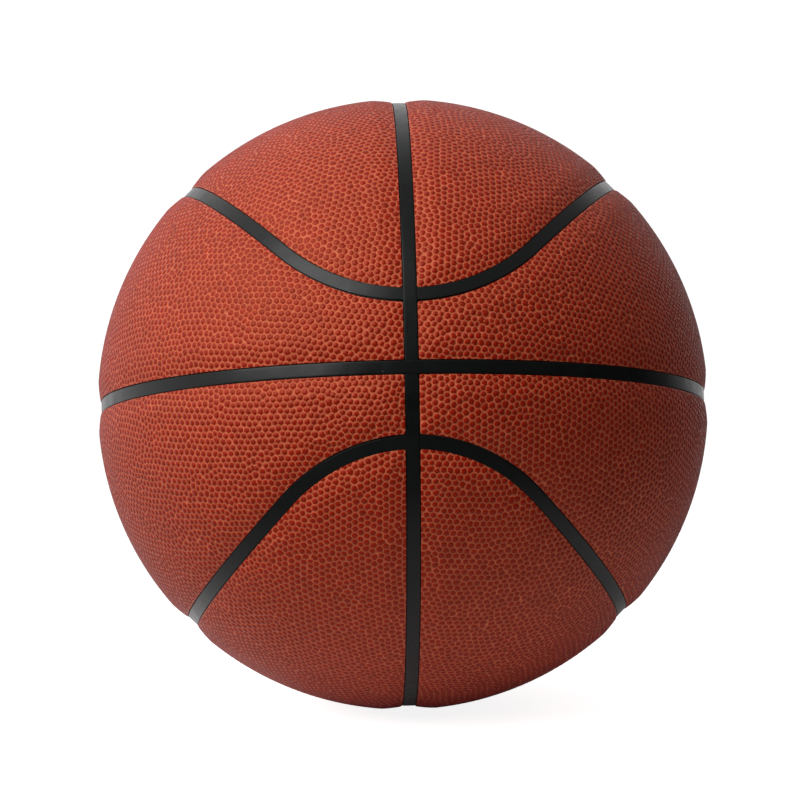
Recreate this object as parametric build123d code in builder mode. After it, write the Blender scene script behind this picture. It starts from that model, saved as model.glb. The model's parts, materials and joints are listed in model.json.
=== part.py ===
from build123d import *
import os
from math import asin, cos, radians, sin, sqrt

# An inflated basketball in millimetres. The origin is the ball's centre and +Z is up. The seam pattern's
# front crossing is lifted above level, and the inflation valve points along +X.

# Driving dimensions
BALL_RADIUS = 120.5
TILT = 15
BOND_LINE = 0.15

# Seams: a level ring, an upright cross seam and two curved seams, which follow planes at 45 degrees to
# both and swing clear of the front and back crossings on a round turn
CHANNEL_WIDTH = 5.7
STRIP_WIDTH = 5.3
STRIP_RECESS = 1.2
STRIP_EDGE_RADIUS = 0.3
TURN_RADIUS = 67.5

# Cover panels and the sponge pads in their backs
COVER_THICKNESS = 1.4
PAD_THICKNESS = 1.0
BORDER_WIDTH = 3.0
CORNER_RADIUS = 1.6
PANEL_EDGE_RADIUS = 1.0

# Inner layers
CARCASS_THICKNESS = 0.75
WINDING_THICKNESS = 0.5
BLADDER_THICKNESS = 0.7

# Valve
PATCH_RADIUS = 20.0
PATCH_THICKNESS = 0.8
FLANGE_RADIUS = 10.0
FLANGE_THICKNESS = 1.2
BARREL_RADIUS = 4.0
BARREL_LENGTH = 16.0
BARREL_CLEARANCE = 0.15
CORE_RADIUS = 1.6
CORE_LENGTH = 13.0
CORE_CLEARANCE = 0.05
CORE_RECESS = 0.7
CORE_FOOT_CHAMFER = 0.3
NEEDLE_RADIUS = 1.0
LEAD_IN_RADIUS = 1.35
STRIP_HOLE_RADIUS = 1.95

# Radii of the layers, from the crown of the cover inwards
COVER_INNER = BALL_RADIUS - COVER_THICKNESS
PAD_OUTER = COVER_INNER - BOND_LINE
SEAT = PAD_OUTER - PAD_THICKNESS
STRIP_TOP = BALL_RADIUS - STRIP_RECESS
CARCASS_OUTER = SEAT - BOND_LINE
CARCASS_INNER = CARCASS_OUTER - CARCASS_THICKNESS
WINDING_OUTER = CARCASS_INNER - BOND_LINE
WINDING_INNER = WINDING_OUTER - WINDING_THICKNESS
BLADDER_OUTER = WINDING_INNER - BOND_LINE
BLADDER_INNER = BLADDER_OUTER - BLADDER_THICKNESS
PATCH_OUTER = BLADDER_INNER - BOND_LINE
PATCH_INNER = PATCH_OUTER - PATCH_THICKNESS
FLANGE_OUTER = PATCH_INNER - BOND_LINE
FLANGE_INNER = FLANGE_OUTER - FLANGE_THICKNESS

# Heights along the valve axis
BARREL_TOP = sqrt(CARCASS_OUTER**2 - BARREL_RADIUS**2)
BARREL_END = BARREL_TOP - BARREL_LENGTH
CORE_TOP = STRIP_TOP - CORE_RECESS
CORE_END = CORE_TOP - CORE_LENGTH

# Working planes: the front plane faces the crossing of the seams, the ring plane lies in the level seam
# and the valve plane looks out along the valve
FRONT = Plane(origin=(0, 0, 0), x_dir=(1, 0, 0), z_dir=(0, -cos(radians(TILT)), sin(radians(TILT))))
RING = Plane(origin=(0, 0, 0), x_dir=(-1, 0, 0), z_dir=FRONT.y_dir)
VALVE = Plane(origin=(0, 0, 0), x_dir=(0, 1, 0), z_dir=(1, 0, 0))

REACH = BALL_RADIUS + 10
CHANNEL_HALF = CHANNEL_WIDTH / 2
STRIP_HALF = STRIP_WIDTH / 2
TURN_CENTRE = TURN_RADIUS * sqrt(2)

SIDES = {"right": 1, "left": -1}
LEVELS = {"upper": 1, "lower": -1}


def turn_points(radius, start):
    """Start, middle and end of an arc about the turn's centre, from start across to its 45 degree end."""
    first = asin(start / radius)
    last = radians(45)
    angles = (first, (first + last) / 2, last)
    return [(radius * sin(angle), TURN_CENTRE - radius * cos(angle)) for angle in angles]


def in_quarter(points, side, level):
    """The same points in the quarter of the front plane on that side and at that level."""
    return [(side * across, level * up) for across, up in points]


def side_outline(gap, side, level):
    """Outline in one quarter between the ring, cross and curved seams, a gap clear of all three."""
    turn = turn_points(TURN_RADIUS + gap, gap)
    far_corners = [(REACH, REACH - gap * sqrt(2)), (REACH, gap)]
    ThreePointArc(*in_quarter(turn, side, level))
    Polyline(*in_quarter([turn[-1], *far_corners, (gap, gap), turn[0]], side, level))


def cap_outline(gap, side, level):
    """Outline in one quarter between the curved seam and the cross seam, a gap clear of both."""
    turn = turn_points(TURN_RADIUS - gap, gap)
    far_corners = [(REACH, REACH + gap * sqrt(2)), (gap, REACH + gap * sqrt(2))]
    ThreePointArc(*in_quarter(turn, side, level))
    Polyline(*in_quarter([turn[-1], *far_corners, turn[0]], side, level))


def quarter_block(outline, gap, inner, outer, side, level):
    """An outline carried right through the ball and kept between two spheres."""
    with BuildPart() as block:
        with BuildSketch(FRONT) as region:
            with BuildLine():
                outline(gap, side, level)
            make_face()
            corners_at_cross_seam = region.vertices().group_by(lambda corner: abs(corner.X))[0]
            fillet(corners_at_cross_seam, CORNER_RADIUS)
        extrude(amount=REACH, both=True)
        with Locations(FRONT):
            Sphere(outer, mode=Mode.INTERSECT)
            Sphere(inner, mode=Mode.SUBTRACT)
    return block.part


def cover_panel(outline, side, level):
    """A panel with a rolled outer edge and a recess for its pad: only its border sits on the carcass."""
    blank = quarter_block(outline, CHANNEL_HALF, SEAT, BALL_RADIUS, side, level)
    recess_gap = CHANNEL_HALF + BORDER_WIDTH
    recess = quarter_block(outline, recess_gap, SEAT - BOND_LINE, COVER_INNER, side, level)
    with BuildPart() as panel:
        add(blank)
        add(recess, mode=Mode.SUBTRACT)
        crown = panel.faces().filter_by(GeomType.SPHERE).sort_by(lambda face: face.radius)[-1]
        fillet(crown.edges(), PANEL_EDGE_RADIUS)
    return panel


def backing_pad(outline, side, level):
    """A sponge pad that fills a panel's recess, a bond line clear of its walls."""
    gap = CHANNEL_HALF + BORDER_WIDTH + BOND_LINE
    with BuildPart() as pad:
        add(quarter_block(outline, gap, SEAT, PAD_OUTER, side, level))
    return pad


def round_top_edges(strip):
    """Round the two long edges of a strip's outer face."""
    top = strip.faces().filter_by(GeomType.SPHERE).sort_by(lambda face: face.radius)[-1]
    fillet(top.edges().filter_by(lambda edge: edge.length > 2 * STRIP_WIDTH), STRIP_EDGE_RADIUS)


def cross_strip(level):
    """One half of the upright seam's strip, from the ring strip's edge at the front over to the back."""
    with BuildPart() as strip:
        with BuildSketch(FRONT):
            with Locations((0, level * (STRIP_HALF + REACH / 2))):
                Rectangle(STRIP_WIDTH, REACH)
        extrude(amount=REACH, both=True)
        with Locations(FRONT):
            Sphere(STRIP_TOP, mode=Mode.INTERSECT)
            Sphere(SEAT, mode=Mode.SUBTRACT)
        round_top_edges(strip)
    return strip


def curved_strip(side, level):
    """One half of a curved seam's strip, from the cross strip at the front round the side to the back."""
    near_turn = turn_points(TURN_RADIUS - STRIP_HALF, STRIP_HALF)
    far_turn = turn_points(TURN_RADIUS + STRIP_HALF, STRIP_HALF)
    near_end = (REACH, REACH + STRIP_HALF * sqrt(2))
    far_end = (REACH, REACH - STRIP_HALF * sqrt(2))
    with BuildPart() as strip:
        with BuildSketch(FRONT):
            with BuildLine():
                ThreePointArc(*in_quarter(near_turn, side, level))
                Polyline(*in_quarter([near_turn[-1], near_end, far_end, far_turn[-1]], side, level))
                ThreePointArc(*in_quarter(far_turn, side, level))
                Line(*in_quarter([far_turn[0], near_turn[0]], side, level))
            make_face()
        extrude(amount=REACH, both=True)
        with Locations(FRONT):
            Sphere(STRIP_TOP, mode=Mode.INTERSECT)
            Sphere(SEAT, mode=Mode.SUBTRACT)
        round_top_edges(strip)
    return strip


def layer(inner, outer):
    """A hollow ball with the hole that the valve's barrel comes through."""
    with BuildPart() as shell:
        with Locations(VALVE):
            Sphere(outer)
            Sphere(inner, mode=Mode.SUBTRACT)
        with Locations(VALVE.offset(outer)):
            Hole(BARREL_RADIUS + BARREL_CLEARANCE, depth=2 * (outer - inner))
    return shell


def disc_on_sphere(radius, inner, outer):
    """A round disc about the valve axis, kept between two spheres."""
    with BuildPart() as disc:
        with BuildSketch(VALVE):
            Circle(radius)
        extrude(amount=REACH)
        with Locations(VALVE):
            Sphere(outer, mode=Mode.INTERSECT)
            Sphere(inner, mode=Mode.SUBTRACT)
    return disc.part


def save(piece, name):
    """Label a finished piece and write it as a node of its own."""
    piece.part.label = name
    export_step(piece.part, f"parts/{name}.step")


os.makedirs("parts", exist_ok=True)

# Cover panels, backing pads and the strips between the panels
for side_name, side in SIDES.items():
    for level_name, level in LEVELS.items():
        place = f"{level_name}_{side_name}"
        save(cover_panel(side_outline, side, level), f"side_panel_{place}")
        save(cover_panel(cap_outline, side, level), f"cap_panel_{place}")
        save(backing_pad(side_outline, side, level), f"side_pad_{place}")
        save(backing_pad(cap_outline, side, level), f"cap_pad_{place}")
        save(curved_strip(side, level), f"curved_strip_{place}")

for level_name, level in LEVELS.items():
    save(cross_strip(level), f"cross_strip_{level_name}")

# Ring strip in the level seam, with the hole for the needle
with BuildPart() as ring_strip:
    with BuildSketch(RING):
        Circle(REACH)
    extrude(amount=STRIP_HALF, both=True)
    with Locations(RING):
        Sphere(STRIP_TOP, mode=Mode.INTERSECT)
        Sphere(SEAT, mode=Mode.SUBTRACT)
    round_top_edges(ring_strip)
    with Locations(VALVE.offset(STRIP_TOP)):
        Hole(STRIP_HOLE_RADIUS, depth=2 * (STRIP_TOP - SEAT))
save(ring_strip, "ring_strip")

# Carcass, thread winding and bladder
save(layer(CARCASS_INNER, CARCASS_OUTER), "carcass")
save(layer(WINDING_INNER, WINDING_OUTER), "thread_winding")
save(layer(BLADDER_INNER, BLADDER_OUTER), "bladder")

# Reinforcement patch round the valve, on the inside of the bladder
patch_disc = disc_on_sphere(PATCH_RADIUS, PATCH_INNER, PATCH_OUTER)
with BuildPart() as valve_patch:
    add(patch_disc)
    with Locations(VALVE.offset(PATCH_OUTER)):
        Hole(BARREL_RADIUS + BARREL_CLEARANCE)
save(valve_patch, "valve_patch")

# Valve body: a sleeve through the layers, with a flange against the patch
flange_disc = disc_on_sphere(FLANGE_RADIUS, FLANGE_INNER, FLANGE_OUTER)
with BuildPart() as valve_body:
    add(flange_disc)
    with BuildSketch(VALVE.offset(BARREL_END)):
        Circle(BARREL_RADIUS)
    extrude(amount=BARREL_LENGTH)
    with Locations(VALVE.offset(BARREL_TOP)):
        Hole(CORE_RADIUS + CORE_CLEARANCE)
save(valve_body, "valve_body")

# Valve core: a plug in the sleeve, with the needle's passage and its lead-in
with BuildPart() as valve_core:
    with BuildSketch(VALVE.offset(CORE_END)):
        Circle(CORE_RADIUS)
    extrude(amount=CORE_LENGTH)
    chamfer(valve_core.edges().group_by(Axis.X)[0], CORE_FOOT_CHAMFER)
    with Locations(VALVE.offset(CORE_TOP)):
        CounterSinkHole(NEEDLE_RADIUS, LEAD_IN_RADIUS, counter_sink_angle=90)
save(valve_core, "valve_core")
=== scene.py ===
import json
import math

import bpy
import numpy as np
from mathutils import Matrix, Vector, geometry


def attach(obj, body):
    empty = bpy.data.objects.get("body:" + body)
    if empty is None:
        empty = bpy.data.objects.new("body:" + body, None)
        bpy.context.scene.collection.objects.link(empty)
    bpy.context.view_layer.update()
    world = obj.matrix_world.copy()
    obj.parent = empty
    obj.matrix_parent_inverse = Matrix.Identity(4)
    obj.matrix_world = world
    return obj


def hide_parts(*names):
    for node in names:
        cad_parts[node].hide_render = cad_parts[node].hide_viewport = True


# An inflated basketball: pebbled cover panels with black rubber strips in the channels between them.
# Sizes are in millimetres in the seams' own axes, which are right, up and front. Every mesh is put into the
# row frame in metres, and the camera and the studio are set out in that frame.

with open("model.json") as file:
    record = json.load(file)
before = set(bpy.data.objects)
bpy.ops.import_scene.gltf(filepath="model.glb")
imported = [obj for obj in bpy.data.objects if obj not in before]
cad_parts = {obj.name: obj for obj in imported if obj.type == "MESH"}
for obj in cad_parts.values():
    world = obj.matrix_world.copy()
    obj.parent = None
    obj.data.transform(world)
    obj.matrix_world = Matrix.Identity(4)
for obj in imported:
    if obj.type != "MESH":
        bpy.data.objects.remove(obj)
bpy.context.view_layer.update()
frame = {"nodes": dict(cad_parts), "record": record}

MILLIMETRE = 0.001

# Ball and seams
BALL_RADIUS = 120.5
TILT = math.radians(15)
CHANNEL_HALF = 2.85
TURN_RADIUS = 67.5
TURN_CENTRE = TURN_RADIUS * math.sqrt(2)
TURN_END = math.radians(45)
CORNER_RADIUS = 0.7

# Cover panels: each rolls down towards its channels and ends in a lip, and a recess in the back holds the pad
SEAT = 117.95
COVER_INNER = 119.1
BORDER_WIDTH = 3.0
RECESS_SLOPE = 0.15
ROLL_DROP = 1.15
ROLL_WIDTH = 8.0
ROLL_POWER = 1.3
LIP_DROP = 0.15
LIP_WIDTH = 0.6
LIP_RELIEF = 0.4
EDGE_STEP = 0.55
RECESS_STEP = 3.0
BACK_STEP = 7.0
SLOPE_STEP = 0.01
DRAW_IN_PASSES = 4

# Pebbles of the hide
PITCH = 2.66
PEBBLE_HEIGHT = 0.40
VALLEY_HALF = 0.22
ROUNDNESS = 1.15
SHOULDER = 0.76
SHOULDER_RISE = 0.95
FOOT_RISE = 0.40
EDGE_MARGIN = 0.20
SHAKE = 0.23
EASINGS = 2
SIZE_SPREAD = 0.04
TONE_SPREAD = 0.06
WAVE_COUNT = 5
WAVE_LENGTHS = (18.0, 50.0)
WAVE_STRAIN = 0.045
WIDEST_DRAW = 2
LATTICE_REACH = 1.8 * BALL_RADIUS
LATTICE_MARGIN = 4 * PITCH
EASED_MARGIN = 2 * PITCH

# Rubber strips
STRIP_HALF = 2.48
STRIP_TOP = 119.0
STRIP_EDGE_RADIUS = 0.15
STRIP_STEP = 1.5
SECTION_STEPS = 4
BUTT_GAP = 0.05
HOLE_RADIUS = 1.95
HOLE_STEPS = 28

# Camera at the photograph's viewing angle, with distances in metres and the lens and sensor in millimetres
CAMERA_AZIMUTH = math.radians(-1.71)
CAMERA_ELEVATION = math.radians(8.23)
CAMERA_ROLL = math.radians(0.71)
CAMERA_DISTANCE = 1.97
CAMERA_LENS = 224.1
CAMERA_SENSOR = 36
CAMERA_FAR = 50
AIM_LEFT = 0.0011
AIM_UP = 0.00173

# Floor: its greys, its least glows, of which 1 is white, and the distances in metres where each changes
FLOOR_HALF = 7.0
PALE_MIDDLE = (0.06, 0.0, 0.0)
PALE_REACH = (0.17, 0.36)
PALE_GREY = (0.82, 0.82, 0.82)
DULL_GREY = (0.12, 0.12, 0.12)
SEEN_REACH = (0.17, 0.45)
SEEN_GLOW = 0.87
UNDER_REACH = (0.125, 0.16)
MIRRORED_REACH = (0.15, 0.60)
MIRRORED_GLOW = 0.42

# Studio: light strengths, of which 1 is white, and how far towards a side a direction is where they change
WHITE_SIDE = (-0.64, 0.77, 0.0)
WHITE_TURN = (0.0, 0.5)
BACKDROP = (0.0, 1.0, 0.0)
BACKDROP_TURN = (0.45, 0.95)
CEILING_TURN = (0.2, 0.8)
DARK_SIDE_LIGHT = 0.03
WHITE_SIDE_LIGHT = 0.87
CEILING_LIGHT = 0.40

# Lamps in metres and watts
KEY_DIRECTION = (-0.575, -0.49, 0.655)
KEY_DISTANCE = 1.4
KEY_WIDTH = 1.05
KEY_HEIGHT = 1.35
KEY_POWER = 19.5
FILL_DIRECTION = (0.72, -0.68, 0.0)
FILL_DISTANCE = 2.0
FILL_SIZE = 2.4
FILL_POWER = 3.4

# Least weight that a mean divides by, and the distance within which flat points are one
LEAST_WEIGHT = 1e-9
SAME_POINT = 1e-6

RIGHT = np.array([1.0, 0.0, 0.0])
UP = np.array([0.0, 1.0, 0.0])
FRONT = np.array([0.0, 0.0, 1.0])
ALONG_SLANT = (RIGHT + UP) / math.sqrt(2)
ACROSS_SLANT = (RIGHT - UP) / math.sqrt(2)

# Rows: the seams' right, up and front in the row frame
SEAM_AXES = np.array([
    [1, 0, 0],
    [0, math.sin(TILT), math.cos(TILT)],
    [0, -math.cos(TILT), math.sin(TILT)],
])

SIDES = {"right": 1, "left": -1}
LEVELS = {"upper": 1, "lower": -1}

# Angle above the ring seam of the middle line that a panel's hide is laid along
MIDDLE = {"side": math.radians(22.5), "cap": math.radians(67.5)}


def put_mesh(name, points, polygons, material, attributes=None):
    """A piece from points in the seams' axes and blocks of faces, each block one array of corner rows.
    Blocks are smooth, and the edges between them are sharp."""
    corners = np.concatenate([block.ravel() for block in polygons])
    sizes = np.concatenate([np.full(len(block), block.shape[1]) for block in polygons])
    mesh = bpy.data.meshes.new(name)
    mesh.vertices.add(len(points))
    mesh.vertices.foreach_set("co", (points @ SEAM_AXES * MILLIMETRE).ravel())
    mesh.loops.add(len(corners))
    mesh.loops.foreach_set("vertex_index", corners)
    mesh.polygons.add(len(sizes))
    mesh.polygons.foreach_set("loop_start", np.cumsum(sizes) - sizes)
    mesh.update(calc_edges=True)
    mesh.polygons.foreach_set("use_smooth", np.ones(len(sizes), bool))
    edges = np.empty(len(corners), int)
    mesh.loops.foreach_get("edge_index", edges)
    blocks = np.concatenate([np.full(block.size, number) for number, block in enumerate(polygons)])
    lowest, highest = np.full(len(mesh.edges), len(polygons)), np.zeros(len(mesh.edges), int)
    np.minimum.at(lowest, edges, blocks)
    np.maximum.at(highest, edges, blocks)
    mesh.attributes.new("sharp_edge", "BOOLEAN", "EDGE").data.foreach_set("value", lowest < highest)
    for label, values in (attributes or {}).items():
        layer = mesh.attributes.new(label, "FLOAT", "POINT")
        layer.data.foreach_set("value", values.astype(np.float32))
    mesh.materials.append(material)
    piece = bpy.data.objects.new(name, mesh)
    bpy.context.scene.collection.objects.link(piece)
    return piece


def stand_for(node, ending, slot, points, polygons, attributes=None):
    """A new piece takes the place of a node. Its name is the node's with an ending, it rides on the ball and
    it has its finish from a slot."""
    piece = put_mesh(f"{node}_{ending}", points, polygons, FINISHES[slot], attributes)
    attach(piece, "ball")
    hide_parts(node)


def in_quarter(points, side, level):
    """Points of the upper right quarter in the quarter on that side and at that level."""
    return points * [side, level, 1]


def facing_out(polygons, side, level):
    """Faces of the upper right quarter for that quarter: turned round where it is a mirror image."""
    return polygons if side * level > 0 else [block[:, ::-1] for block in polygons]


def on_ball(hide, kind):
    """Unit directions for places on the flat hide: its first coordinate runs from front to back round the
    panel's middle line as a longitude, and its second across that line as a latitude."""
    longitude, latitude = np.moveaxis(hide, -1, 0) / BALL_RADIUS
    outwards = np.cos(latitude) * np.cos(longitude)
    sideways = np.sin(latitude)
    right = outwards * math.cos(MIDDLE[kind]) - sideways * math.sin(MIDDLE[kind])
    up = outwards * math.sin(MIDDLE[kind]) + sideways * math.cos(MIDDLE[kind])
    front = -np.cos(latitude) * np.sin(longitude)
    return np.stack([right, up, front], -1)


def on_hide(points, kind):
    """Places on the flat hide for points of the ball: the reverse of on_ball."""
    right, up, front = np.moveaxis(points, -1, 0) / BALL_RADIUS
    outwards = right * math.cos(MIDDLE[kind]) + up * math.sin(MIDDLE[kind])
    sideways = up * math.cos(MIDDLE[kind]) - right * math.sin(MIDDLE[kind])
    return BALL_RADIUS * np.stack([np.arctan2(-front, outwards), np.arcsin(sideways)], -1)


def rounded(first, second):
    """The lesser of two distances from edges, with the corner between the edges rounded."""
    in_corner = np.maximum(first, second) < CORNER_RADIUS
    from_round = CORNER_RADIUS - np.hypot(CORNER_RADIUS - first, CORNER_RADIUS - second)
    return np.where(in_corner, from_round, np.minimum(first, second))


def clearance(hide, kind):
    """Distance of places on the hide from the panel's edge, negative outside it: the least of the distances
    from its channels. The curved channel is a circle near the crossing and a slanting plane beyond it."""
    right, up, _ = np.moveaxis(BALL_RADIUS * on_ball(hide, kind), -1, 0)
    from_turn = np.hypot(right, TURN_CENTRE - up) - TURN_RADIUS
    from_slant = (right - up) / math.sqrt(2)
    from_curve = np.where(right + up > TURN_CENTRE, from_slant, from_turn)
    from_cross = right - CHANNEL_HALF
    if kind == "cap":
        return rounded(from_cross, -from_curve - CHANNEL_HALF)
    from_ring = up - CHANNEL_HALF
    from_curve = from_curve - CHANNEL_HALF
    at_corners = np.minimum(rounded(from_cross, from_ring), rounded(from_cross, from_curve))
    return np.minimum(at_corners, np.minimum(from_ring, from_curve))


def draw_in(hide, kind):
    """Moves places that lie outside a rounded corner onto the panel's edge, up the slope of clearance."""
    for _ in range(DRAW_IN_PASSES):
        outside = np.minimum(clearance(hide, kind), 0)
        slope = np.stack([
            clearance(hide + shift, kind) - clearance(hide - shift, kind) for shift in SLOPE_STEP * np.eye(2)
        ], -1) / (2 * SLOPE_STEP)
        hide = hide - outside[:, None] * slope / np.sum(slope * slope, -1, keepdims=True)
    return hide


def flat_edge(offset, normal, along, first, last, step):
    """Where the plane at that offset along normal cuts the ball: an arc from the angle first to the angle
    last, turned from along towards the front."""
    reach = math.sqrt(BALL_RADIUS**2 - offset**2)
    count = math.ceil(reach * abs(last - first) / step)
    angle = np.linspace(first, last, count, endpoint=False)[:, None]
    return offset * normal + reach * (np.cos(angle) * along + np.sin(angle) * FRONT)


def turn_edge(radius, first, last, face, step):
    """Where the cylinder of that radius about the turn's centre, which runs from front to back, cuts the
    front or the back of the ball."""
    count = math.ceil(radius * abs(last - first) / step)
    angle = np.linspace(first, last, count, endpoint=False)
    right = radius * np.sin(angle)
    up = TURN_CENTRE - radius * np.cos(angle)
    front = face * np.sqrt(BALL_RADIUS**2 - right**2 - up**2)
    return np.stack([right, up, front], -1)


def outline(kind, gap, step):
    """A panel's closed edge, a gap clear of the seams' middle lines, anticlockwise on the flat hide."""
    reach = math.sqrt(BALL_RADIUS**2 - gap**2)
    radius = TURN_RADIUS + (gap if kind == "side" else -gap)
    start = math.asin(gap / radius)
    at_turn = math.acos((TURN_CENTRE - radius * math.cos(start)) / reach)
    at_ring = math.acos(gap / reach)
    slant = math.acos(TURN_RADIUS / reach)
    if kind == "side":
        arcs = [
            flat_edge(gap, UP, RIGHT, at_ring, -at_ring, step),
            flat_edge(gap, RIGHT, UP, -at_ring, -at_turn, step),
            turn_edge(radius, start, TURN_END, -1, step),
            flat_edge(gap, ACROSS_SLANT, ALONG_SLANT, -slant, slant, step),
            turn_edge(radius, TURN_END, start, 1, step),
            flat_edge(gap, RIGHT, UP, at_turn, at_ring, step),
        ]
    else:
        arcs = [
            turn_edge(radius, start, TURN_END, 1, step),
            flat_edge(-gap, ACROSS_SLANT, ALONG_SLANT, slant, -slant, step),
            turn_edge(radius, TURN_END, start, -1, step),
            flat_edge(gap, RIGHT, UP, -at_turn, at_turn, step),
        ]
    return on_hide(np.concatenate(arcs), kind)


def triangles_between(flat, edges=np.empty((0, 2), int), kept=0):
    """Delaunay triangles of flat points as rows of their places in the list. Kept is 0 for all of them, and 1
    for those inside the loop of edges."""
    filled = geometry.delaunay_2d_cdt(flat.tolist(), edges.tolist(), [], kept, SAME_POINT)
    first_source = np.array([sources[0] for sources in filled[3]])
    return first_source[np.array(filled[2])]


def triangles_within(loop, inner):
    """Delaunay triangles inside a closed loop of flat points, using the inner points as well. Rows hold
    places in the list of the loop's points followed by the inner points."""
    ends = np.arange(len(loop))
    edges = np.stack([ends, np.roll(ends, -1)], -1)
    return triangles_between(np.concatenate([loop, inner]), edges, 1)


def mean_over(rows, values, weights, count):
    """Weighted mean of the values that belong to each of so many places, for rows of places."""
    total = np.stack([np.bincount(rows, column * weights, count) for column in values.T], -1)
    return total / np.maximum(np.bincount(rows, weights, count), LEAST_WEIGHT)[:, None]


def kept_draws(rng, shape):
    """Normal draws, with those past the widest draw brought back to it."""
    return np.clip(rng.normal(size=shape), -WIDEST_DRAW, WIDEST_DRAW)


def pebble_middles(kind, rng):
    """Middles of the pebbles on a flat hide: a hexagonal lattice, turned, bent by slow waves and shaken, and
    then eased. In each easing a middle goes to the centroid of the triangles round it, so the spacing evens
    out. Middles far outside the panel stay where they are."""
    rows = math.ceil(LATTICE_REACH / PITCH)
    row, column = np.meshgrid(np.arange(-rows, rows + 1), np.arange(-rows, rows + 1), indexing="ij")
    flat = PITCH * np.stack([column + row / 2, row * math.sqrt(0.75)], -1).reshape(-1, 2)
    turn = rng.uniform(0, math.pi / 3)
    flat = flat @ np.array([[math.cos(turn), math.sin(turn)], [-math.sin(turn), math.cos(turn)]])
    heading, towards, phase = rng.uniform(0, 2 * math.pi, (3, WAVE_COUNT))
    length = rng.uniform(*WAVE_LENGTHS, WAVE_COUNT)
    travel = flat @ np.stack([np.cos(heading), np.sin(heading)])
    swing = WAVE_STRAIN * length / (2 * math.pi) * np.sin(2 * math.pi * travel / length + phase)
    flat = flat + swing @ np.stack([np.cos(towards), np.sin(towards)], -1)
    middles = flat[clearance(flat, kind) > -LATTICE_MARGIN]
    middles = middles + SHAKE * PITCH * kept_draws(rng, middles.shape)
    free = (clearance(middles, kind) > -EASED_MARGIN)[:, None]
    for _ in range(EASINGS):
        triangles = triangles_between(middles)
        corners = middles[triangles]
        first, second = np.moveaxis(corners[:, 1:] - corners[:, :1], 1, 0)
        areas = abs(first[:, 0] * second[:, 1] - first[:, 1] * second[:, 0])
        centroids = np.repeat(corners.mean(1), 3, 0)
        eased = mean_over(triangles.ravel(), centroids, np.repeat(areas, 3), len(middles))
        middles = np.where(free, eased, middles)
    return middles


def pebbles(kind, rng):
    """Places, rise and tone of a panel's pebbles, and their middles. Each pebble is a dome on a ring of
    points that stops short of the valley, with a shoulder ring and a top. Valleys run half way to each
    neighbour: through the middles of pairs and the centroids of threes. Rise is 0 in a valley and 1 on top."""
    middles = pebble_middles(kind, rng)
    count = len(middles)
    triangles = triangles_between(middles)
    owner = triangles.ravel()
    beside = np.roll(triangles, -1, 1).ravel()
    pairs = (middles[owner] + middles[beside]) / 2
    threes = middles[triangles].mean(1)
    to_pairs = np.linalg.norm(pairs - middles[owner], axis=1, keepdims=True) - VALLEY_HALF
    size = mean_over(owner, to_pairs, np.ones(len(owner)), count) * ROUNDNESS
    size = size * (1 + SIZE_SPREAD * rng.normal(size=(count, 1)))

    def foot(targets):
        """Points on the way from the owners' middles to the targets, as far as size and valley allow."""
        spokes = targets - middles[owner]
        reach = np.linalg.norm(spokes, axis=1, keepdims=True)
        return middles[owner] + spokes * np.minimum(size[owner], reach - VALLEY_HALF) / reach

    corner_foot = foot(np.repeat(threes, 3, 0))
    shoulder = middles[owner] + SHOULDER * (corner_foot - middles[owner])
    once = owner < beside
    groups = [
        (middles, np.arange(count), 1.0),
        (shoulder, owner, SHOULDER_RISE),
        (corner_foot, owner, FOOT_RISE),
        (foot(pairs), owner, FOOT_RISE),
        (pairs[once], owner[once], 0.0),
        (threes, triangles[:, 0], 0.0),
    ]
    places = np.concatenate([places for places, _, _ in groups])
    rise = np.concatenate([np.full(len(places), level) for places, _, level in groups])
    shade = kept_draws(rng, count)
    tone = 1 + TONE_SPREAD * shade[np.concatenate([owners for _, owners, _ in groups])]
    inside = clearance(places, kind) > EDGE_MARGIN
    return places[inside], rise[inside], tone[inside], middles


def rise_between(places, middles):
    """Rise of the pebbles at any places: from the nearest middle out to the foot, and from the foot down to
    the valley, which lies as far from the nearest middle as from the next one."""
    apart = np.linalg.norm(places[:, None] - middles[None], axis=-1)
    nearest, second = np.partition(apart, 1, axis=1)[:, :2].T
    to_valley = (second - nearest) / 2
    foot = PITCH / 2 - VALLEY_HALF
    on_dome = np.interp(nearest / foot, [0, SHOULDER, 1], [1, SHOULDER_RISE, FOOT_RISE])
    on_flank = FOOT_RISE * np.clip(to_valley / VALLEY_HALF, 0, 1)
    return np.where(to_valley < VALLEY_HALF, np.minimum(on_flank, on_dome), on_dome)


def crown(inset):
    """Radius of the cover at a distance from the panel's edge. It falls in a long roll, as a power of how
    near the edge is, and then in a lip, a quarter ellipse."""
    roll = (1 - np.clip(inset / ROLL_WIDTH, 0, 1))**ROLL_POWER
    lip = 1 - np.sqrt(1 - (1 - np.clip(inset / LIP_WIDTH, 0, 1))**2)
    return BALL_RADIUS - ROLL_DROP * roll - LIP_DROP * lip


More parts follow.
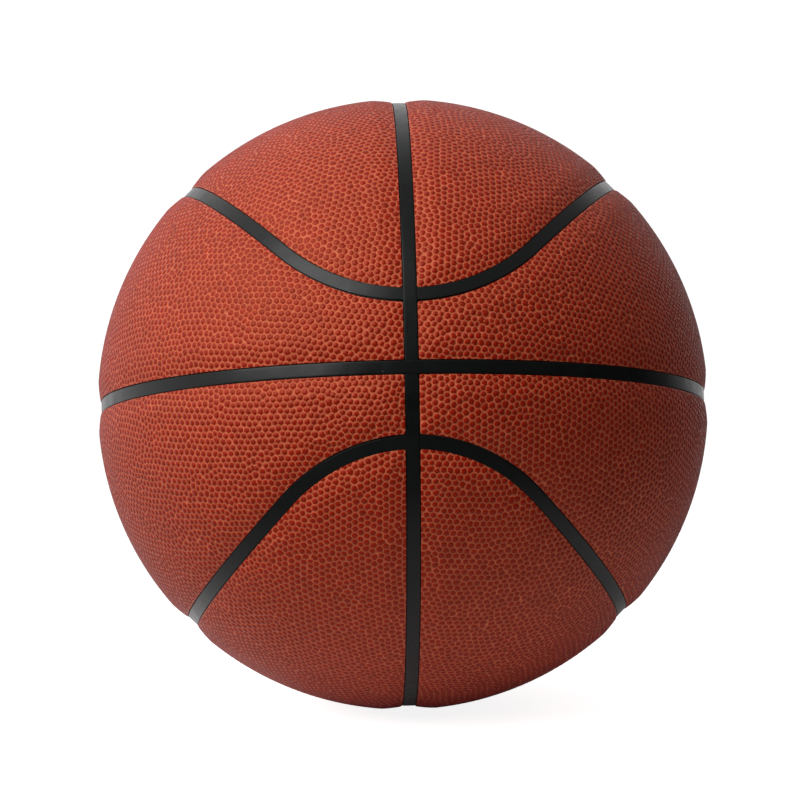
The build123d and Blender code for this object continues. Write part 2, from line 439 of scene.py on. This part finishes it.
def cover_panel(kind, side, level, seed):
    """One pebbled panel as a closed shell: the pebbled face, a wall down to the seat and a back with a
    recess. A point of the face stands at the crown's radius, less what its pebble lacks of its full height.
    The pebbles are lower on the lip."""
    rng = np.random.default_rng(seed)
    rim = draw_in(outline(kind, CHANNEL_HALF, EDGE_STEP), kind)
    places, rise, tone, middles = pebbles(kind, rng)
    face_places = np.concatenate([rim, places])
    face_rise = np.concatenate([rise_between(rim, middles), rise])
    inset = np.maximum(clearance(face_places, kind), 0)
    relief = PEBBLE_HEIGHT * np.interp(inset, [0, LIP_WIDTH], [LIP_RELIEF, 1])
    face = on_ball(face_places, kind) * (crown(inset) - relief * (1 - face_rise))[:, None]

    gaps = CHANNEL_HALF + BORDER_WIDTH + np.array([0, RECESS_SLOPE])
    recess_rim, recess_floor = [draw_in(outline(kind, gap, RECESS_STEP), kind) for gap in gaps]
    low, high = rim.min(0), rim.max(0)
    grid = np.stack(np.meshgrid(*[np.arange(a, b, BACK_STEP) for a, b in zip(low, high)]), -1).reshape(-1, 2)
    deep = grid[clearance(grid, kind) > BORDER_WIDTH + BACK_STEP / 2]
    back_places = np.concatenate([recess_rim, recess_floor, deep])
    back_radius = np.where(np.arange(len(back_places)) < len(recess_rim), SEAT, COVER_INNER)
    back = np.concatenate([on_ball(rim, kind) * SEAT, on_ball(back_places, kind) * back_radius[:, None]])

    top_ring = np.arange(len(rim))
    bottom_ring = top_ring + len(face)
    wall = np.stack([top_ring, bottom_ring, np.roll(bottom_ring, -1), np.roll(top_ring, -1)], -1)
    back_faces = triangles_within(rim, back_places)[:, ::-1] + len(face)
    polygons = facing_out([triangles_within(rim, places), wall, back_faces], side, level)
    points = in_quarter(np.concatenate([face, back]), side, level)
    attributes = {
        "rise": np.concatenate([face_rise, np.zeros(len(back))]),
        "tone": np.concatenate([np.ones(len(rim)), tone, np.ones(len(back))]),
    }
    return points, polygons, attributes


def strip_section():
    """Half of a strip's section from the middle of its top, over the rounded edge, to the middle of its
    underside: distances across and radii."""
    turn = np.linspace(0, math.pi / 2, SECTION_STEPS + 1)
    top_across = np.linspace(0, STRIP_HALF - STRIP_EDGE_RADIUS, SECTION_STEPS, endpoint=False)
    edge_across = STRIP_HALF - STRIP_EDGE_RADIUS * (1 - np.sin(turn))
    edge_radius = STRIP_TOP - STRIP_EDGE_RADIUS * (1 - np.cos(turn))
    across = np.concatenate([top_across, edge_across, [STRIP_HALF, 0]])
    radius = np.concatenate([np.full(SECTION_STEPS, STRIP_TOP), edge_radius, [SEAT, SEAT]])
    return across, radius


def whole_section():
    """The closed section of a strip, anticlockwise as seen along its path."""
    across, radius = strip_section()
    return np.concatenate([across[:-1], -across[:0:-1]]), np.concatenate([radius[:-1], radius[:0:-1]])


def great_arc(across, radius, normal, along, angle):
    """Points at a distance across a plane through the centre, on a sphere, turned from along to the front."""
    reach = np.sqrt(radius**2 - across**2)[..., None]
    angle = np.asarray(angle)[..., None]
    return across[..., None] * normal + reach * (np.cos(angle) * along + np.sin(angle) * FRONT)


def swept(grid):
    """Points and faces of a closed section carried along a path, with both ends capped. Rows follow the path
    and columns the section."""
    rows, columns = grid.shape[:2]
    index = np.arange(rows * columns).reshape(rows, columns)
    ahead = np.roll(index, -1, 1)
    quads = np.stack([index[:-1], index[1:], ahead[1:], ahead[:-1]], -1).reshape(-1, 4)
    caps = np.stack([index[0], index[-1, ::-1]])
    return grid.reshape(-1, 3), [quads, caps]


def cross_strip_grid():
    """Upper half of the upright strip: a great arc over the top, cut off a butt gap above the ring strip."""
    across, radius = whole_section()
    end = np.arccos((STRIP_HALF + BUTT_GAP) / np.sqrt(radius**2 - across**2))
    steps = math.ceil(math.pi * STRIP_TOP / STRIP_STEP)
    share = np.linspace(1, -1, steps + 1)[:, None]
    return great_arc(np.broadcast_to(across, (steps + 1, len(across))), radius, RIGHT, UP, share * end)


def curved_strip_grid():
    """One side of the upper curved strip: round the turn at the front, down the slanting great arc and round
    the turn at the back. Across counts outwards from the turn's centre."""
    across, radius = whole_section()
    turn_radius = TURN_RADIUS + across
    start = np.arcsin((STRIP_HALF + BUTT_GAP) / turn_radius)
    turn_steps = math.ceil(TURN_RADIUS * TURN_END / STRIP_STEP)
    angle = start + np.linspace(0, 1, turn_steps, endpoint=False)[:, None] * (TURN_END - start)
    right = turn_radius * np.sin(angle)
    up = TURN_CENTRE - turn_radius * np.cos(angle)
    front = np.sqrt(radius**2 - right**2 - up**2)
    front_turn = np.stack([right, up, front], -1)
    back_turn = (front_turn * [1, 1, -1])[::-1]
    slant = np.arccos(TURN_RADIUS / np.sqrt(radius**2 - across**2))
    slant_steps = math.ceil(2 * slant.max() * STRIP_TOP / STRIP_STEP)
    share = np.linspace(1, -1, slant_steps + 1)[:, None]
    across_rows = np.broadcast_to(across, (slant_steps + 1, len(across)))
    slant_arc = great_arc(across_rows, radius, ACROSS_SLANT, ALONG_SLANT, share * slant)
    return np.concatenate([front_turn, slant_arc, back_turn])


def ring_strip_surface():
    """The level strip, made as an upper and a lower half that share their middle rows. Where the needle's
    hole is, the halves part: the section is squeezed clear of the hole's half chord at that place along the
    ring, which is 0 at the hole's two ends and beyond them."""
    across, radius = strip_section()
    hole = -HOLE_RADIUS * np.cos(np.linspace(0, math.pi, HOLE_STEPS + 1))
    steps = math.ceil(2 * math.pi * STRIP_TOP / STRIP_STEP)
    rest = np.linspace(HOLE_RADIUS, 2 * math.pi * STRIP_TOP - HOLE_RADIUS, steps + 1)[1:-1]
    path = np.concatenate([hole, rest])[:, None]
    chord = np.sqrt(np.maximum(HOLE_RADIUS**2 - path**2, 0))
    chord[HOLE_STEPS:] = 0
    chord[0] = 0
    parted = chord + across * (STRIP_HALF - chord) / STRIP_HALF
    angle = np.broadcast_to(path / STRIP_TOP, parted.shape)
    halves = [great_arc(sign * parted, radius, UP, RIGHT, angle) for sign in (1, -1)]
    points = np.concatenate(halves).reshape(-1, 3)
    index = np.arange(parted.size).reshape(parted.shape)
    lower = index + parted.size
    closed = chord[:, 0] == 0
    lower[closed, 0] = index[closed, 0]
    lower[closed, -1] = index[closed, -1]
    ahead, lower_ahead = np.roll(index, -1, 0), np.roll(lower, -1, 0)
    upper_quads = np.stack([index[:, :-1], index[:, 1:], ahead[:, 1:], ahead[:, :-1]], -1)
    lower_quads = np.stack([lower[:, :-1], lower_ahead[:, :-1], lower_ahead[:, 1:], lower[:, 1:]], -1)
    bore = slice(0, HOLE_STEPS)
    upper_bore = np.stack([index[bore, 0], ahead[bore, 0], ahead[bore, -1], index[bore, -1]], -1)
    lower_bore = np.stack([lower[bore, 0], lower[bore, -1], lower_ahead[bore, -1], lower_ahead[bore, 0]], -1)
    return points, [upper_quads.reshape(-1, 4), lower_quads.reshape(-1, 4), upper_bore, lower_bore]


def add_node(tree, kind, inputs=None, **options):
    """Adds a shader node, sets its options and fills its inputs: a socket is linked, anything else is set."""
    made = tree.nodes.new(kind)
    for option, value in options.items():
        setattr(made, option, value)
    for key, value in (inputs or {}).items():
        if isinstance(value, bpy.types.NodeSocket):
            tree.links.new(value, made.inputs[key])
        else:
            made.inputs[key].default_value = value
    return made


def new_material(name):
    """An empty node material, its tree, its shader and its Object coordinates."""
    made = bpy.data.materials.new(name)
    made.use_nodes = True
    tree = made.node_tree
    coordinates = add_node(tree, "ShaderNodeTexCoord").outputs["Object"]
    return made, tree, tree.nodes["Principled BSDF"], coordinates


def set_shader(tree, shader, **inputs):
    """Fills the shader's inputs, whose names are given with underscores for spaces."""
    for key, value in inputs.items():
        socket = shader.inputs[key.replace("_", " ")]
        if isinstance(value, bpy.types.NodeSocket):
            tree.links.new(value, socket)
        else:
            socket.default_value = value


def noise(tree, coordinates, grain, detail=2.0):
    """Noise with a grain of that many millimetres."""
    scale = 1 / (grain * MILLIMETRE)
    inputs = {"Vector": coordinates, "Scale": scale, "Detail": detail}
    return add_node(tree, "ShaderNodeTexNoise", inputs).outputs["Fac"]


def spread(tree, value, low, high, start=0.0, end=1.0):
    """Maps a value from start..end to low..high."""
    inputs = {"Value": value, "From Min": start, "From Max": end, "To Min": low, "To Max": high}
    return add_node(tree, "ShaderNodeMapRange", inputs).outputs["Result"]


def ramp(tree, factor, stops):
    """A colour ramp through (place, colour) stops."""
    made = add_node(tree, "ShaderNodeValToRGB", {"Fac": factor})
    elements = made.color_ramp.elements
    while len(elements) < len(stops):
        elements.new(1.0)
    for element, (place, colour) in zip(elements, stops):
        element.position = place
        element.color = (*colour, 1)
    return made.outputs["Color"]


def scaled(tree, colour, factor):
    """A colour times a factor that varies over the surface."""
    inputs = {0: colour, "Scale": factor}
    return add_node(tree, "ShaderNodeVectorMath", inputs, operation="SCALE").outputs["Vector"]


def bump(tree, height, strength, depth):
    """A bump of that depth in millimetres."""
    inputs = {"Height": height, "Strength": strength, "Distance": depth * MILLIMETRE}
    return add_node(tree, "ShaderNodeBump", inputs).outputs["Normal"]


def combined(tree, first, second, operation):
    """Two values in one: their product with MULTIPLY, or the greater of them with MAXIMUM."""
    return add_node(tree, "ShaderNodeMath", {0: first, 1: second}, operation=operation).outputs[0]


def facing(tree, direction, side):
    """How far a direction is turned to a side: 1 is straight towards it, and 0 is square to it."""
    inputs = {0: direction, 1: side}
    return add_node(tree, "ShaderNodeVectorMath", inputs, operation="DOT_PRODUCT").outputs["Value"]


def cover_leather():
    """Pebbled hide: pale orange valleys and dark red pebbles, each of its own tone, with a fine grain."""
    made, tree, shader, place = new_material("cover_leather")
    rise = add_node(tree, "ShaderNodeAttribute", attribute_name="rise").outputs["Fac"]
    tone = add_node(tree, "ShaderNodeAttribute", attribute_name="tone").outputs["Fac"]
    hide = ramp(tree, rise, [
        (0.00, (0.56, 0.130, 0.062)),
        (0.32, (0.53, 0.114, 0.052)),
        (0.62, (0.275, 0.0070, 0.0004)),
        (1.00, (0.262, 0.0062, 0.0004)),
    ])
    cloud = spread(tree, noise(tree, place, 30), 0.96, 1.04, 0.3, 0.7)
    colour = scaled(tree, scaled(tree, hide, tone), cloud)
    roughness = spread(tree, noise(tree, place, 1.2), 0.36, 0.46, 0.3, 0.7)
    grain = bump(tree, noise(tree, place, 0.25, 3.0), 0.25, 0.03)
    gloss = spread(tree, rise, 0.25, 0.55, 0.3, 0.9)
    set_shader(tree, shader, Base_Color=colour, Roughness=roughness, Normal=grain, Specular_IOR_Level=gloss,
               Specular_Tint=(1.0, 0.40, 0.24, 1.0))
    return made


def channel_rubber():
    """Satin black rubber with a faint grain, dull patches and a few specks of dust."""
    made, tree, shader, place = new_material("channel_rubber")
    dust = add_node(tree, "ShaderNodeTexVoronoi", {"Vector": place, "Scale": 1 / (7 * MILLIMETRE)})
    fleck = spread(tree, dust.outputs["Distance"], 1.0, 0.0, 0.012, 0.03)
    colour = ramp(tree, fleck, [(0.0, (0.0032, 0.0038, 0.0037)), (1.0, (0.22, 0.21, 0.20))])
    roughness = spread(tree, noise(tree, place, 6), 0.26, 0.36, 0.3, 0.7)
    grain = bump(tree, noise(tree, place, 0.15), 0.25, 0.02)
    set_shader(tree, shader, Base_Color=colour, Roughness=roughness, Normal=grain, Specular_IOR_Level=0.26)
    return made


def moulded_rubber(name, colour, rough, grain_size):
    """Matt moulded rubber: two shades in slow clouds, with a fine grain."""
    made, tree, shader, place = new_material(name)
    shades = [(0.3, tuple(0.7 * share for share in colour)), (0.7, colour)]
    clouds = ramp(tree, noise(tree, place, 9), shades)
    roughness = spread(tree, noise(tree, place, 2), rough - 0.08, rough + 0.08, 0.3, 0.7)
    grain = bump(tree, noise(tree, place, grain_size), 0.4, 0.05)
    set_shader(tree, shader, Base_Color=clouds, Roughness=roughness, Normal=grain)
    return made


def sponge():
    """Open-cell sponge: pale foam with round cells, their hollows darkened as painted shade."""
    made, tree, shader, place = new_material("sponge")
    cells = add_node(tree, "ShaderNodeTexVoronoi", {"Vector": place, "Scale": 1 / (1.1 * MILLIMETRE)})
    depth = cells.outputs["Distance"]
    # Painted shade: the foam is darker towards the middle of each cell, where the bump sinks into a hollow.
    colour = ramp(tree, depth, [(0.15, (0.42, 0.37, 0.26)), (0.55, (0.78, 0.74, 0.62))])
    hollows = bump(tree, depth, 0.8, 0.3)
    set_shader(tree, shader, Base_Color=colour, Roughness=0.92, Normal=hollows)
    return made


def winding_thread():
    """Nylon thread wound in all directions: fine parallel bands along three slanting directions."""
    made, tree, shader, place = new_material("winding_thread")
    bands = []
    for turn in ((0.3, 0.2, 0.9), (1.4, 0.6, 2.1), (2.3, 1.1, 0.2)):
        turned = add_node(tree, "ShaderNodeMapping", {"Vector": place, "Rotation": turn}).outputs["Vector"]
        inputs = {"Vector": turned, "Scale": 0.3 / MILLIMETRE, "Distortion": 1.5, "Detail": 1.0}
        bands.append(add_node(tree, "ShaderNodeTexWave", inputs).outputs["Fac"])
    strands = combined(tree, combined(tree, bands[0], bands[1], "MAXIMUM"), bands[2], "MAXIMUM")
    # Painted shade: the thread is darker low between the strands, where the lay's bump sinks into grooves.
    colour = ramp(tree, strands, [(0.35, (0.40, 0.37, 0.30)), (0.85, (0.80, 0.78, 0.70))])
    lay = bump(tree, strands, 0.7, 0.15)
    set_shader(tree, shader, Base_Color=colour, Roughness=0.55, Normal=lay)
    return made


def studio_white(tree, direction, brightest):
    """How white the studio is in a direction: brightest on the left and behind, and dark on the right and in
    front."""
    return spread(tree, facing(tree, direction, WHITE_SIDE), DARK_SIDE_LIGHT, brightest, *WHITE_TURN)


def mirrored_white(tree, direction):
    """How white the studio is to rays off a gloss or through glass: white behind the ball and on the left, as
    it is to the camera, and dark on the right and in front. It is 0 for other rays."""
    path = add_node(tree, "ShaderNodeLightPath").outputs
    mirrored = combined(tree, path["Is Glossy Ray"], path["Is Transmission Ray"], "MAXIMUM")
    behind = spread(tree, facing(tree, direction, BACKDROP), 0.0, 1.0, *BACKDROP_TURN)
    white = combined(tree, behind, studio_white(tree, direction, 1.0), "MAXIMUM")
    return combined(tree, mirrored, white, "MULTIPLY")


def studio_floor():
    """Floor that is pale round the ball and dull further off. To the camera it glows white, a little less
    near the ball, where the matt surface under the glow takes the shadow. To rays off a gloss or through
    glass it glows as the studio on that side, in full under the ball and far off, and less between."""
    made, tree, shader, place = new_material("studio_floor")
    away = add_node(tree, "ShaderNodeVectorMath", {0: place}, operation="LENGTH").outputs["Value"]
    bearing = add_node(tree, "ShaderNodeVectorMath", {0: place}, operation="NORMALIZE").outputs["Vector"]
    from_pale = add_node(tree, "ShaderNodeVectorMath", {0: place, 1: PALE_MIDDLE}, operation="DISTANCE")
    surface = ramp(tree, from_pale.outputs["Value"], list(zip(PALE_REACH, (PALE_GREY, DULL_GREY))))
    seen = add_node(tree, "ShaderNodeLightPath").outputs["Is Camera Ray"]
    to_camera = combined(tree, seen, spread(tree, away, SEEN_GLOW, 1.0, *SEEN_REACH), "MULTIPLY")
    under_ball = spread(tree, away, 1.0, 0.0, *UNDER_REACH)
    far_off = spread(tree, away, MIRRORED_GLOW, 1.0, *MIRRORED_REACH)
    share = combined(tree, under_ball, far_off, "MAXIMUM")
    to_gloss = combined(tree, mirrored_white(tree, bearing), share, "MULTIPLY")
    glow = combined(tree, to_camera, to_gloss, "MAXIMUM")
    set_shader(tree, shader, Base_Color=surface, Roughness=1.0, Specular_IOR_Level=0.0,
               Emission_Color=(1, 1, 1, 1), Emission_Strength=glow)
    return made


def area_lamp(name, direction, distance, width, height, power):
    """A rectangular lamp at a distance from the ball in a direction, turned towards the ball."""
    lamp = bpy.data.lights.new(name, "AREA")
    lamp.shape = "RECTANGLE"
    lamp.size = width
    lamp.size_y = height
    lamp.energy = power
    out = Vector(direction).normalized()
    made = bpy.data.objects.new(name, lamp)
    made.location = distance * out
    made.rotation_euler = out.to_track_quat("Z", "Y").to_euler()
    bpy.context.scene.collection.objects.link(made)
    return made


FINISHES = {
    "cover_leather": cover_leather(),
    "channel_rubber": channel_rubber(),
    "sponge": sponge(),
    "winding_thread": winding_thread(),
    "carcass_rubber": moulded_rubber("carcass_rubber", (0.05, 0.045, 0.04), 0.7, 0.5),
    "bladder_butyl": moulded_rubber("bladder_butyl", (0.03, 0.03, 0.032), 0.45, 0.8),
    "valve_rubber": moulded_rubber("valve_rubber", (0.04, 0.04, 0.042), 0.55, 0.3),
    "core_rubber": moulded_rubber("core_rubber", (0.06, 0.06, 0.062), 0.4, 0.2),
}

# Every node gets the finish of its material slot
for subpart in frame["record"]["subparts"]:
    node_materials = frame["nodes"][subpart["node"]].data.materials
    node_materials.clear()
    node_materials.append(FINISHES[subpart["material_slot"]])

# Cover panels and curved strips, quarter by quarter
seed = 0
curved_grid = curved_strip_grid()
for side_name, side in SIDES.items():
    for level_name, level in LEVELS.items():
        quarter = f"{level_name}_{side_name}"
        for kind in ("side", "cap"):
            seed += 1
            points, polygons, attributes = cover_panel(kind, side, level, seed)
            stand_for(f"{kind}_panel_{quarter}", "pebbled", "cover_leather", points, polygons, attributes)
        points, polygons = swept(in_quarter(curved_grid, side, level))
        polygons = facing_out(polygons, side, level)
        stand_for(f"curved_strip_{quarter}", "rubber", "channel_rubber", points, polygons)

# Cross strips, upper and lower
cross_grid = cross_strip_grid()
for level_name, level in LEVELS.items():
    points, polygons = swept(in_quarter(cross_grid, 1, level))
    polygons = facing_out(polygons, 1, level)
    stand_for(f"cross_strip_{level_name}", "rubber", "channel_rubber", points, polygons)

# Ring strip
points, polygons = ring_strip_surface()
stand_for("ring_strip", "rubber", "channel_rubber", points, polygons)

# Camera
towards_camera = Vector((
    math.sin(CAMERA_AZIMUTH) * math.cos(CAMERA_ELEVATION),
    -math.cos(CAMERA_AZIMUTH) * math.cos(CAMERA_ELEVATION),
    math.sin(CAMERA_ELEVATION),
))
level_right = Vector((0, 0, 1)).cross(towards_camera).normalized()
level_up = towards_camera.cross(level_right)
picture_right = math.cos(CAMERA_ROLL) * level_right - math.sin(CAMERA_ROLL) * level_up
picture_up = towards_camera.cross(picture_right)
camera = bpy.data.objects.new("camera", bpy.data.cameras.new("camera"))
camera.data.lens = CAMERA_LENS
camera.data.sensor_width = CAMERA_SENSOR
camera.data.clip_end = CAMERA_FAR
aim = AIM_UP * picture_up - AIM_LEFT * picture_right
camera_turn = Matrix((picture_right, picture_up, towards_camera)).transposed().to_4x4()
camera.matrix_world = Matrix.Translation(aim + CAMERA_DISTANCE * towards_camera) @ camera_turn
bpy.context.scene.collection.objects.link(camera)
bpy.context.scene.camera = camera

# Floor, white to the camera, with the ball's soft shadow
floor_mesh = bpy.data.meshes.new("floor")
floor_corners = [(-1, -1), (1, -1), (1, 1), (-1, 1)]
floor_height = -BALL_RADIUS * MILLIMETRE
floor_points = [(FLOOR_HALF * x, FLOOR_HALF * y, floor_height) for x, y in floor_corners]
floor_mesh.from_pydata(floor_points, [], [(0, 1, 2, 3)])
floor = bpy.data.objects.new("floor", floor_mesh)
bpy.context.scene.collection.objects.link(floor)
floor_mesh.materials.append(studio_floor())

# World: white to the camera, and otherwise the studio with a pale ceiling
world = bpy.data.worlds.new("studio")
bpy.context.scene.world = world
world.use_nodes = True
world_tree = world.node_tree
direction = add_node(world_tree, "ShaderNodeTexCoord").outputs["Generated"]
heading = add_node(world_tree, "ShaderNodeSeparateXYZ", {0: direction}).outputs
strength = add_node(world_tree, "ShaderNodeLightPath").outputs["Is Camera Ray"]
mirrored = mirrored_white(world_tree, direction)
white = studio_white(world_tree, direction, WHITE_SIDE_LIGHT)
ceiling = spread(world_tree, heading["Z"], 0.0, CEILING_LIGHT, *CEILING_TURN)
for light in (mirrored, white, ceiling):
    strength = combined(world_tree, strength, light, "MAXIMUM")
background = world_tree.nodes["Background"]
background.inputs["Color"].default_value = (1, 1, 1, 1)
world_tree.links.new(strength, background.inputs["Strength"])

# Key light: one large softbox, high on the left and in front
area_lamp("key", KEY_DIRECTION, KEY_DISTANCE, KEY_WIDTH, KEY_HEIGHT, KEY_POWER)

# Fill light: a large weak panel on the right and in front, which gloss doesn't show
fill = area_lamp("fill", FILL_DIRECTION, FILL_DISTANCE, FILL_SIZE, FILL_SIZE, FILL_POWER)
fill.visible_glossy = False

bpy.context.scene.view_settings.view_transform = "Standard"
